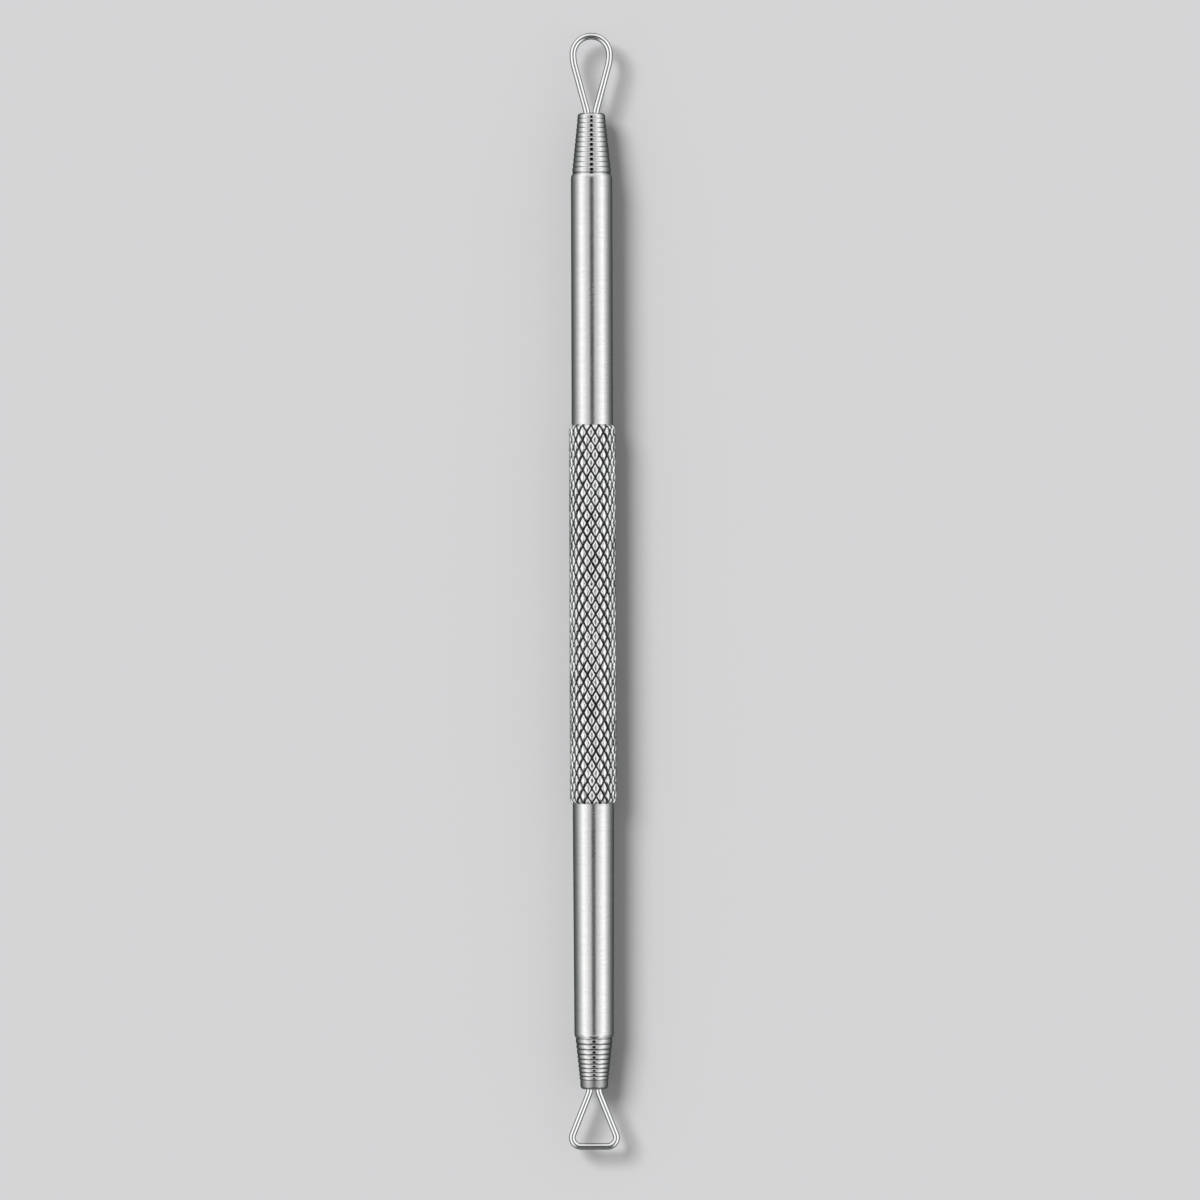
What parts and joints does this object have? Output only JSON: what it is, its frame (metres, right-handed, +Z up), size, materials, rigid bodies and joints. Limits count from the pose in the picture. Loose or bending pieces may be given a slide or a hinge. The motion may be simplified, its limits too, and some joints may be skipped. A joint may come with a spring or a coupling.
{
  "type": "blackhead extractor",
  "caption": "Slim steel skin tool: knurled grip, plain shafts, ringed ferrules and a bent wire loop at each end, a teardrop above and a triangle below.",
  "frame": {"origin": "under the middle of the overall length, on the surface that the grip rests on", "axes": "+Y along the tool towards the teardrop loop, +Z up, square to the plane of the flat loops"},
  "size_m": [0.0054, 0.12, 0.005],
  "materials": {
    "knurled_steel": "knurled, bright lands, dark grooves",
    "satin_steel": "fine satin",
    "turned_steel": "turned, polished rings",
    "polished_wire": "polished",
    "silver_braze": "dull silvery filler"
  },
  "bodies": {
    "root": {"knurled_grip": "knurled_steel", "upper_shaft_tube": "satin_steel", "lower_shaft_tube": "satin_steel", "upper_ferrule": "turned_steel", "lower_ferrule": "turned_steel", "teardrop_loop": "polished_wire", "triangle_loop": "polished_wire", "upper_braze": "silver_braze", "lower_braze": "silver_braze"}
  },
  "joints": []
}
